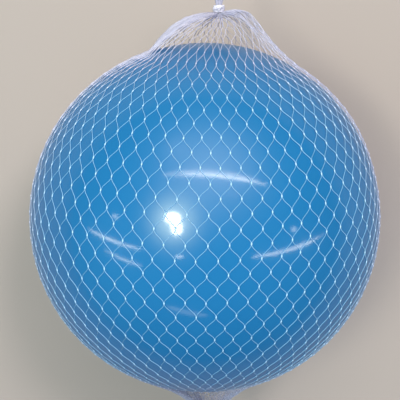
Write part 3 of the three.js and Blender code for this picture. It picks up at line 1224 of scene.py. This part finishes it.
def joint_graph() -> GeometryGraph:
    """Makes the tree that puts one long rounded joint on each point, lying along the net.

    Returns:
        The tree. Its joints take their way from along and outward, and their size from swell.
    """
    lengths = ("Joint Length", "Joint Width", "Joint Thickness")
    graph = GeometryGraph("joint", lengths, counts=("Segments", "Rings"))
    given = graph.given
    inputs = {"Segments": given["Segments"], "Rings": given["Rings"], "Radius": 0.5}
    bead = graph.node("GeometryNodeMeshUVSphere", None, inputs).outputs[0]
    settings = {"primary_axis": "Z", "secondary_axis": "X"}
    inputs = {
        "Primary Axis": graph.attribute("along", "FLOAT_VECTOR"),
        "Secondary Axis": graph.attribute("outward", "FLOAT_VECTOR"),
    }
    turned = graph.node("FunctionNodeAxesToRotation", settings, inputs).outputs[0]
    inputs = {"X": given["Joint Thickness"], "Y": given["Joint Width"], "Z": given["Joint Length"]}
    size = graph.node("ShaderNodeCombineXYZ", None, inputs).outputs[0]
    inputs = {0: size, 1: graph.attribute("swell", "FLOAT_VECTOR")}
    scaled = graph.node("ShaderNodeVectorMath", {"operation": "MULTIPLY"}, inputs).outputs[0]
    inputs = {"Points": given["Geometry"], "Instance": bead, "Rotation": turned, "Scale": scaled}
    graph.finish(graph.node("GeometryNodeInstanceOnPoints", None, inputs).outputs[0])
    return graph


def line_object(name: str, lines: np.ndarray, attributes: dict[str, np.ndarray]) -> bpy.types.Object:
    """Makes an object of open lines of points for a Geometry Nodes tree.

    Args:
        name: the object's name.
        lines: points by line, place in the line, and axis.
        attributes: values for each point, in the same order, one number or three.

    Returns:
        The linked object.
    """
    count, length = lines.shape[:2]
    numbers = np.arange(count * length).reshape(count, length)
    edges = np.stack([numbers[:, :-1].ravel(), numbers[:, 1:].ravel()], 1)
    mesh = bpy.data.meshes.new(name)
    mesh.from_pydata(lines.reshape(-1, 3).tolist(), edges.tolist(), [])
    for label, values in attributes.items():
        kind, key = ("FLOAT", "value") if values.ndim == 1 else ("FLOAT_VECTOR", "vector")
        layer = mesh.attributes.new(label, kind, "POINT")
        layer.data.foreach_set(key, values.astype(np.float32).ravel())
    return linked_object(name, mesh)


@dataclass
class Net:
    """One sleeve of extruded diamond net: two families of strands, fused where they cross.

    step_shares divides each strand between two joints. bend and second_bend are the waves that it makes
    there, in half columns. At a joint an outer strand rides over the inner one by overlap of its diameter,
    and loses sag of that halfway to the next joint. bundling, and the fields with swell, slimming and
    shortening in their names, are shares of the strands' or joints' own size.
    """

    sleeve: Sleeve = field(default_factory=Sleeve)
    outer_diameter: float = 0.36 * MM
    inner_diameter: float = 0.42 * MM
    joint_length: float = 1.95 * MM
    joint_width: float = 0.95 * MM
    joint_thickness: float = 0.72 * MM
    standoff: float = 0.12 * MM
    joint_segments: int = 6
    joint_rings: int = 5
    strand_sides: int = 5
    step_shares: tuple[float, ...] = (0.0, 0.12, 0.3, 0.5, 0.7, 0.88)
    bend: float = 0.72
    second_bend: float = 0.16
    overlap: float = 0.75
    sag: float = 0.65
    joint_wander: float = 0.03
    loose_wander: float = 0.45
    loosening_rows: int = 4
    tightening_start: float = 0.5
    spreading_rows: tuple[float, float] = (0.4, 1.4)
    bundling: float = 2.2
    bundling_power: int = 4
    span_swell: float = 0.9
    crossing_swell: float = 0.22
    massed_swell: float = 0.9
    loose_slimming: float = 0.02
    joint_loose_slimming: float = 0.35
    joint_tight_slimming: float = 0.15
    joint_tight_shortening: float = 0.2
    seed: int = 7
    outer_finish: DrawnStrand = field(default_factory=lambda: DrawnStrand("outer_strand", body=0.64))
    # The inner strands' pale colour is lighter than the outer ones', as painted light against the shade of
    # the outer strands lying over them.
    inner_finish: DrawnStrand = field(
        default_factory=lambda: DrawnStrand(
            "inner_strand",
            clear_colour=(0.3, 0.63, 0.93),
            milky_and_sheen_colour=(0.71, 0.68, 0.88),
            body=0.44,
            gathered_body=0.4,
        )
    )
    # The joints' colours are paler than the strands', partly for their fuller plastic and partly as a
    # painted glint.
    joint_finish: DrawnStrand = field(
        default_factory=lambda: DrawnStrand(
            "fused_joint",
            clear_colour=(0.48, 0.74, 0.97),
            milky_and_sheen_colour=(0.82, 0.79, 1.0),
            gathered_body=0.66,
        )
    )

    def __post_init__(self) -> None:
        """Draws each joint's small wander once, so that both families meet on it."""
        first, last = self.sleeve.last_rows
        rng = np.random.default_rng(self.seed)
        self.rows = np.arange(first, last + 1)
        self.wander = rng.normal(0, self.joint_wander, (len(self.rows), self.sleeve.columns, 2))
        loose = np.maximum(np.abs(self.rows) - self.sleeve.ball_rows, 0)
        self.wander *= (1 + self.loose_wander * loose)[:, None, None]

    @property
    def half_column(self) -> float:
        """Half the angle of one column of gaps."""
        return math.pi / self.sleeve.columns

    def _joint_wander(self, row: np.ndarray, half_steps: np.ndarray) -> np.ndarray:
        """Looks up how far joints lie from their even places.

        Args:
            row: the joints' rows.
            half_steps: their places round the net, counted in half columns.

        Returns:
            For each joint its shift in rows and in half columns.
        """
        parity = (row + 1) % 2
        column = ((half_steps - parity) // 2) % self.sleeve.columns
        return self.wander[row - self.rows[0], column]

    def _looseness(self, row: np.ndarray) -> np.ndarray:
        """0 on the ball, rising to 1 where the net is gathered."""
        ball_rows = self.sleeve.ball_rows
        return smooth_step(np.abs(row), ball_rows, ball_rows + self.loosening_rows)

    def _past_ball(self, row: np.ndarray) -> tuple[np.ndarray, np.ndarray]:
        """How many rows past the ball's last row, and how many rows there are up to the stem."""
        stems = np.where(row > 0, self.sleeve.gather_rows[NECK.name], self.sleeve.gather_rows[TAIL.name])
        return np.abs(row) - self.sleeve.ball_rows, stems

    def _tightness(self, row: np.ndarray) -> np.ndarray:
        """0 on the ball and 1 in the stems and tassels."""
        beyond, stems = self._past_ball(row)
        return smooth_step(beyond / stems, self.tightening_start, 1.0)

    def _massed(self, row: np.ndarray) -> np.ndarray:
        """1 where the strands are pressed together in a stem, 0 on the ball and in the loose tassel."""
        beyond, stems = self._past_ball(row)
        return self._tightness(row) * (1 - smooth_step(beyond - stems, *self.spreading_rows))

    def _strand_lines(self, family: Family) -> tuple[np.ndarray, np.ndarray]:
        """Places every strand of a family.

        Args:
            family: the family of strands.

        Returns:
            Points by strand, place along it, and axis, and the swell of each point.
        """
        shares = np.array(self.step_shares)
        row_from = np.append(np.repeat(self.rows[:-1], len(shares)), self.rows[-1] - 1)
        share = np.append(np.tile(shares, len(self.rows) - 1), 1.0)
        wave = 2 * math.pi * share
        bends = self.bend * np.sin(wave) + self.second_bend * np.sin(2 * wave) / 2
        across = share - bends / (2 * math.pi)
        start = 2 * np.arange(self.sleeve.columns)[:, None] + 1
        half_from = start + family.value * row_from[None, :]
        before = self._joint_wander(np.broadcast_to(row_from, half_from.shape), half_from)
        after = self._joint_wander(np.broadcast_to(row_from + 1, half_from.shape), half_from + family.value)
        wander = before * (1 - share[:, None]) + after * share[:, None]
        row = row_from + share + wander[..., 0]
        half_steps = half_from + family.value * across + wander[..., 1]
        longitude = self.sleeve.drape.column_start + self.half_column * half_steps
        row, longitude = row.ravel(), longitude.ravel()
        crossing = np.tile(1 + np.cos(wave), self.sleeve.columns) / 2
        _, outward = self.sleeve.directions(row, longitude)
        points = self.sleeve.point(row, longitude) + outward * self._lift(family, crossing)[:, None]
        loose = self._looseness(row)
        bundled = self.bundling * loose * np.maximum(-np.sin(longitude), 0) ** self.bundling_power
        swell = 1 - self.loose_slimming * loose + self.massed_swell * self._massed(row) + bundled
        swell = swell * (self.span_swell + self.crossing_swell * crossing**2)
        return points.reshape(self.sleeve.columns, -1, 3), swell

    def _lift(self, family: Family, crossing: np.ndarray) -> np.ndarray:
        """Works out how high strands lie over the ball. The outer ones ride over the inner at a joint.

        Args:
            family: the family of strands.
            crossing: 1 at a joint, 0 halfway to the next.

        Returns:
            The heights of the strands' centres.
        """
        if family is Family.INNER:
            return np.full_like(crossing, self.standoff + self.inner_diameter / 2)
        resting = self.standoff + self.outer_diameter / 2
        over = self.inner_diameter * self.overlap
        return resting + over * (1 - self.sag + self.sag * crossing)

    def _strands(self, family: Family, graph: GeometryGraph) -> bpy.types.Object:
        """Builds and dresses one family of strands.

        Args:
            family: the family of strands.
            graph: the tree that gives lines a round strand.

        Returns:
            The family as one piece.
        """
        finish = self.outer_finish if family is Family.OUTER else self.inner_finish
        diameter = self.outer_diameter if family is Family.OUTER else self.inner_diameter
        lines, swell = self._strand_lines(family)
        piece = line_object(f"net_{family.name.lower()}_strands", lines, {"swell": swell})
        values = {"Strand Diameter": diameter, "Sides": self.strand_sides, "Material": finish.material()}
        graph.apply(piece, values)
        return self._claim(piece, finish)

    def _joints(self, graph: GeometryGraph) -> bpy.types.Object:
        """Builds and dresses the fused joints, short of the cut ends.

        Args:
            graph: the tree that puts a joint on each point.

        Returns:
            The joints as one piece.
        """
        rows = np.repeat(self.rows[1:-1], self.sleeve.columns)
        column = np.tile(np.arange(self.sleeve.columns), len(self.rows) - 2)
        half_steps = 2 * column + (rows + 1) % 2
        wander = self._joint_wander(rows, half_steps)
        row = rows + wander[:, 0]
        longitude = self.sleeve.drape.column_start + self.half_column * (half_steps + wander[:, 1])
        along, outward = self.sleeve.directions(row, longitude)
        height = self.standoff + (self.inner_diameter + self.outer_diameter) / 2
        points = self.sleeve.point(row, longitude) + outward * height
        loose, tight = self._looseness(row), self._tightness(row)
        slim = 1 - self.joint_loose_slimming * loose - self.joint_tight_slimming * tight
        swell = np.stack([slim, slim, 1 - self.joint_tight_shortening * tight], 1)
        attributes = {"along": along, "outward": outward, "swell": swell}
        piece = line_object("net_joints", points[:, None, :], attributes)
        values = {
            "Joint Length": self.joint_length,
            "Joint Width": self.joint_width,
            "Joint Thickness": self.joint_thickness,
            "Segments": self.joint_segments,
            "Rings": self.joint_rings,
            "Material": self.joint_finish.material(),
        }
        graph.apply(piece, values)
        return self._claim(piece, self.joint_finish)

    @staticmethod
    def _claim(piece: bpy.types.Object, finish: DrawnStrand) -> bpy.types.Object:
        """Makes a piece of the net ride with the ball and stand for the net's solid.

        Args:
            piece: the finished piece.
            finish: not used.

        Returns:
            The same piece.
        """
        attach(piece, NETTED_BODY)
        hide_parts("net")
        return piece

    def build(self) -> list[bpy.types.Object]:
        """Builds and dresses the net.

        Returns:
            Its outer strands, inner strands and joints.
        """
        strands = strand_graph()
        return [
            self._strands(Family.OUTER, strands),
            self._strands(Family.INNER, strands),
            self._joints(joint_graph()),
        ]


# Ties


@dataclass(frozen=True)
class Knot:
    """A small overhand knot with both tails standing off it.

    loop is the share of the second, faster turn that crosses the filament over itself. tightness and
    crossing_height are shares of size, standing and thickness are shares of the winding's filament, and
    tail_side, tail_lean, tail_parting, tail_rise and tail_droop are shares of the tails' length.
    """

    size: float = 1.35 * MM
    turns: float = 2.6
    loop: float = 0.55
    tightness: float = 0.8
    crossing_height: float = 0.28
    standing: float = 1.3
    thickness: float = 0.8
    points: int = 60
    tail_length: float = 3.6 * MM
    tail_start: float = 0.12
    tail_points: int = 9
    tail_side: float = 0.75
    tail_lean: float = 0.25
    tail_parting: float = 0.3
    tail_rise: float = 0.3
    tail_droop: float = 0.5

    def path(self, top: float, direction: int) -> np.ndarray:
        """Places the filament of the knot.

        Args:
            top: the height of the knot's middle over the stem's axis.
            direction: 1 where the tails lean towards +Y, -1 where they lean the other way.

        Returns:
            One row of X, Y, Z for each point, from one tail's end to the other's.
        """
        turn = (np.linspace(0, 1, self.points) - 0.5) * self.turns * 2 * math.pi
        width = self.size * self.tightness
        loops = [
            width * (np.sin(turn) + self.loop * np.sin(2 * turn)),
            width * (np.cos(turn) - self.loop * np.cos(2 * turn)),
            top + self.crossing_height * self.size * np.sin(3 * turn),
        ]
        knot = np.stack(loops, 1)
        share = np.linspace(self.tail_start, 1, self.tail_points)[:, None]
        droop = np.array([0.0, 0.0, -self.tail_droop * self.tail_length])
        tails = []
        for side, start in ((-1, knot[0]), (1, knot[-1])):
            lean = direction * (self.tail_lean + self.tail_parting * side)
            way = np.array([side * self.tail_side, lean, self.tail_rise]) * self.tail_length
            tails.append(start + share * way + share**2 * droop)
        return np.concatenate([tails[0][::-1], knot, tails[1]])


@dataclass
class Tie:
    """A filament wound round the stem and knotted, which closes one end of the net.

    barrel is how much fuller the winding's middle is, and slant how far its turns lean. They also stray
    by up to stray along the stem and by stray_out from it, in waves counted per turn whose random phases
    go up to latest_phase.
    """

    end: Gather
    length: float = 5 * MM
    margin: float = 1 * MM
    inner_radius: float = 2.45 * MM
    filament: float = 0.78 * MM
    turns: int = 7
    points_per_turn: int = 28
    sides: int = 10
    barrel: float = 0.75 * MM
    slant: float = 0.6 * MM
    slant_turn: float = 0.6
    stray: float = 0.12 * MM
    stray_waves: float = 3.3
    stray_out: float = 0.1 * MM
    stray_out_waves: int = 2
    latest_phase: float = 6.0
    seed: int = 3
    knot: Knot = field(default_factory=Knot)
    finish: MouldedPlastic = field(
        default_factory=lambda: MouldedPlastic("wound_tie", "tie", (0.74, 0.7, 0.84), gloss=0.42)
    )

    @property
    def centre(self) -> np.ndarray:
        """The middle of the tie on the stem's axis."""
        along = self.end.direction * (self.end.stem_along + self.margin + self.length / 2)
        return np.array([self.end.stem_offset, along, CENTRE_HEIGHT])

    def _winding(self) -> np.ndarray:
        """Places the wound filament, which is fuller in the middle and slightly slanted.

        Returns:
            One row of X, Y, Z for each point along it, from the tie's middle.
        """
        rng = np.random.default_rng(self.seed + self.end.fold_seed)
        count = self.turns * self.points_per_turn
        turn = np.arange(count + 1) / self.points_per_turn * 2 * math.pi
        share = np.arange(count + 1) / count
        along = (share - 0.5) * (self.length - self.filament)
        along = along + self.stray * np.sin(self.stray_waves * turn + rng.uniform(0, self.latest_phase))
        along = along + self.slant * np.sin(turn + self.slant_turn) * np.sin(math.pi * share)
        outward = self.stray_out * np.sin(self.stray_out_waves * turn + rng.uniform(0, self.latest_phase))
        radius = self.inner_radius + self.filament / 2 + outward
        radius = radius + self.barrel * np.sin(math.pi * share) ** 2
        return np.stack([radius * np.cos(turn), along, radius * np.sin(turn)], 1)

    def build(self) -> list[bpy.types.Object]:
        """Builds and dresses the tie.

        Returns:
            Its winding and its knot, riding with the net.
        """
        graph = strand_graph()
        material = self.finish.material()
        top = self.inner_radius + self.barrel + self.filament * self.knot.standing
        pieces = []
        for part, path, thickness in (
            ("winding", self._winding(), self.filament),
            ("knot", self.knot.path(top, self.end.direction), self.knot.thickness * self.filament),
        ):
            even = {"swell": np.ones(len(path))}
            piece = line_object(f"{self.end.name}_tie_{part}", path[None] + self.centre, even)
            graph.apply(piece, {"Strand Diameter": thickness, "Sides": self.sides, "Material": material})
            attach(piece, NETTED_BODY)
            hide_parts(f"{self.end.name}_tie")
            pieces.append(piece)
        return pieces


# Camera, lamps and floor


@dataclass(frozen=True)
class PhotoCamera:
    """The camera that took the photograph. Pixels count from the picture's top left corner."""

    distance: float = 598 * MM
    tilt: float = 12 * DEGREE
    focal_pixels: float = 891.0
    picture_side: float = 400.0
    sensor: float = 36.0
    nearest: float = 50 * MM
    ball_pixel: tuple[float, float] = (204.7, 216.7)

    @property
    def position(self) -> Vector:
        """Where the camera stands."""
        back = Vector((0.0, math.sin(self.tilt), math.cos(self.tilt)))
        return Vector(BALL_CENTRE) + self.distance * back

    @property
    def axes(self) -> Matrix:
        """Turns the camera so that the ball's centre lands on its pixel.

        Returns:
            The camera's own X, Y and Z directions as a rotation.
        """
        to_ball = (Vector(BALL_CENTRE) - self.position).normalized()
        up = Vector((0.0, math.cos(self.tilt), -math.sin(self.tilt)))
        middle = self.picture_side / 2
        across = (self.ball_pixel[0] - middle) / self.focal_pixels
        down = (self.ball_pixel[1] - middle) / self.focal_pixels
        forward = (to_ball - Vector((across, 0.0, 0.0)) + down * up).normalized()
        right = forward.cross(up).normalized()
        return Matrix((right, right.cross(forward), -forward)).transposed()

    def mirror(self, pixel: tuple[float, float]) -> tuple[Vector, Vector]:
        """Follows the sight line through a pixel to the ball and on to what the ball mirrors there.

        Args:
            pixel: a point of the picture that lies on the ball.

        Returns:
            The point of the ball and the direction in which the mirrored thing lies.
        """
        middle = self.picture_side / 2
        sight = Vector((pixel[0] - middle, middle - pixel[1], -self.focal_pixels))
        ray = (self.axes @ sight).normalized()
        offset = self.position - Vector(BALL_CENTRE)
        half = ray.dot(offset)
        reach = -half - math.sqrt(half**2 - offset.length_squared + BALL_RADIUS**2)
        point = self.position + reach * ray
        normal = (point - Vector(BALL_CENTRE)).normalized()
        return point, ray - 2 * ray.dot(normal) * normal

    def build(self) -> bpy.types.Object:
        """Makes the scene's camera.

        Returns:
            The camera.
        """
        data = bpy.data.cameras.new("photo_camera")
        data.sensor_width = self.sensor
        data.lens = self.focal_pixels * self.sensor / self.picture_side
        data.clip_start = self.nearest
        camera = linked_object("photo_camera", data)
        camera.matrix_world = Matrix.Translation(self.position) @ self.axes.to_4x4()
        bpy.context.scene.camera = camera
        return camera


@dataclass(frozen=True)
class Lamp:
    """An oval lamp that the ball mirrors as a patch or streak between two pixels.

    It hangs at distance from the ball's face and is width across the streak.
    """

    name: str
    start_pixel: tuple[float, float]
    end_pixel: tuple[float, float]
    width: float
    radiance: float
    distance: float = 1.6
    colour: Colour = (1.0, 0.97, 0.86)

    def build(self, camera: PhotoCamera) -> bpy.types.Object:
        """Hangs the lamp where the ball mirrors it.

        Args:
            camera: the camera that sees the mirrored lamp.

        Returns:
            The lamp.
        """
        ends = []
        for pixel in (self.start_pixel, self.end_pixel):
            point, direction = camera.mirror(pixel)
            ends.append(point + self.distance * direction)
        middle = (ends[0] + ends[1]) / 2
        run = ends[1] - ends[0]
        away = (middle - Vector(BALL_CENTRE)).normalized()
        along = (run - run.dot(away) * away).normalized()
        data = bpy.data.lights.new(self.name, "AREA")
        data.shape = "ELLIPSE"
        data.color = self.colour
        data.size = run.length
        data.size_y = self.width
        data.energy = self.radiance * math.pi * data.size * data.size_y
        lamp = linked_object(self.name, data)
        axes = Matrix((along, away.cross(along), away)).transposed()
        lamp.matrix_world = Matrix.Translation(middle) @ axes.to_4x4()
        lamp.visible_camera = False
        return lamp


@dataclass(frozen=True)
class Glow:
    """A soft bright part of the room, strongest in one direction and fading by a cosine's power."""

    direction: tuple[float, float, float]
    strength: float
    tightness: float
    colour: Colour


@dataclass
class Studio:
    """Pale floor, soft light and the camera."""

    camera: PhotoCamera = field(default_factory=PhotoCamera)
    floor: PaleFloor = field(default_factory=PaleFloor)
    floor_reach: float = 6.0
    sky: float = 0.06
    room_colour: Colour = (0.86, 0.95, 1.0)
    far_colour: Colour = (0.62, 0.59, 0.56)
    glows: tuple[Glow, ...] = (
        Glow((0.06, 0.68, 0.73), 2.15, 8.0, (0.94, 0.98, 0.95)),
        Glow((-0.33, 0.15, 0.93), 7.2, 42.0, (0.86, 1.0, 0.68)),
        Glow((-0.85, -0.42, 0.3), 0.85, 3.0, (0.12, 0.6, 1.0)),
        Glow((0.5, -0.62, 0.42), 0.42, 3.0, (0.1, 0.5, 1.0)),
        Glow((-0.28, 0.81, 0.52), 0.7, 150.0, (0.9, 0.96, 1.0)),
    )
    side_direction: tuple[float, float, float] = (0.27, 0.48, 0.83)
    side_distance: float = 1.6
    side_size: float = 0.4
    side_energy: float = 13.2
    lamps: tuple[Lamp, ...] = (
        Lamp("round_lamp", (164.5, 218), (181, 218), 0.2, 19.0),
        Lamp("round_lamp_low", (171, 228), (182.5, 228), 0.25, 19.0),
        Lamp("long_tube", (180, 174), (268, 185.5), 0.034, 11.0),
        Lamp("long_tube_haze", (163, 175), (258, 181), 0.13, 2.6),
        Lamp("right_tube", (250.5, 257), (318, 238.5), 0.036, 11.0),
        Lamp("right_tube_end", (298, 245), (327, 232.5), 0.03, 3.5),
        Lamp("left_tube", (87, 228), (142, 249.5), 0.034, 10.5),
        Lamp("left_low_tube", (104, 249.5), (143, 266.5), 0.032, 7.5),
        Lamp("near_spot", (175, 256.5), (183, 256.5), 0.05, 9.0),
        Lamp("left_spot", (112, 216), (118, 217), 0.07, 5.5),
        Lamp("right_spot", (291, 229.5), (297, 229.5), 0.08, 5.0),
        Lamp("low_arc", (166, 306), (208, 315.5), 0.1, 1.5),
    )

    def _backdrop(self) -> None:
        """Makes the world: even light with soft glows, and a pale tone seen past the floor's edge."""
        world = bpy.data.worlds.new("soft_room")
        world.use_nodes = True
        bpy.context.scene.world = world
        graph = Graph(world.node_tree)
        graph.tree.nodes.clear()

        def even_light(colour: Colour, strength: Signal | float) -> bpy.types.NodeSocket:
            """Light of one colour from all round, or as strong as a signal says."""
            inputs = {"Color": (*colour, 1.0), "Strength": strength}
            return graph.node("ShaderNodeBackground", None, inputs).outputs[0]

        outward = graph.node("ShaderNodeTexCoord").outputs["Generated"]
        light = even_light(self.room_colour, self.sky)
        for glow in self.glows:
            inputs = {0: outward, 1: Vector(glow.direction).normalized()}
            product = graph.node("ShaderNodeVectorMath", {"operation": "DOT_PRODUCT"}, inputs)
            facing = Signal(graph, product.outputs["Value"]).clamped()
            lobe = even_light(glow.colour, glow.strength * facing**glow.tightness)
            light = graph.node("ShaderNodeAddShader", None, {0: light, 1: lobe}).outputs[0]
        seen = even_light(self.far_colour, 1.0)
        straight = graph.node("ShaderNodeLightPath").outputs["Is Camera Ray"]
        mixed = graph.node("ShaderNodeMixShader", None, {0: straight, 1: light, 2: seen}).outputs[0]
        graph.node("ShaderNodeOutputWorld", None, {"Surface": mixed})

    def _floor(self) -> None:
        """Lays the floor that the ball lies on. It is not a piece of the part."""
        reach = self.floor_reach
        corners = [(-reach, -reach, 0), (reach, -reach, 0), (reach, reach, 0), (-reach, reach, 0)]
        mesh = bpy.data.meshes.new("floor")
        mesh.from_pydata(corners, [], [(0, 1, 2, 3)])
        mesh.materials.append(self.floor.material())
        floor = linked_object("floor", mesh)

    def _side_light(self) -> None:
        """Hangs a wide soft light at the upper right. It lays the ball's shadow and is mirrored nowhere."""
        data = bpy.data.lights.new("side_light", "AREA")
        data.shape = "DISK"
        data.size = self.side_size
        data.energy = self.side_energy
        lamp = linked_object("side_light", data)
        way = Vector(self.side_direction).normalized()
        lamp.location = Vector(BALL_CENTRE) + self.side_distance * way
        lamp.rotation_euler = way.to_track_quat("Z", "Y").to_euler()
        lamp.visible_camera = False
        lamp.visible_glossy = False

    def build(self) -> None:
        """Sets up the whole studio."""
        bpy.context.scene.view_settings.view_transform = "Standard"
        self._backdrop()
        self._floor()
        self._side_light()
        for lamp in self.lamps:
            lamp.build(self.camera)
        self.camera.build()


# Assembly


def report(pieces: list[bpy.types.Object]) -> None:
    """Logs each piece with its size and its number of triangles.

    Args:
        pieces: the pieces of one sub-assembly.
    """
    for piece in pieces:
        triangles = sum(len(face.vertices) - 2 for face in piece.data.polygons)
        size = tuple(round(part / MM, 1) for part in piece.dimensions)
        log.info("%s: %d triangles, %s mm", piece.name, triangles, size)


def main() -> None:
    """Builds the ball, its valve, its net and the ties."""
    logging.basicConfig(level=logging.INFO, format="%(message)s")
    Studio().build()
    report([Ball().build()])
    report(Valve().build())
    report(Net().build())
    report(Tie(NECK).build())
    report(Tie(TAIL).build())
    bpy.context.view_layer.update()


if __name__ == "__main__":
    main()
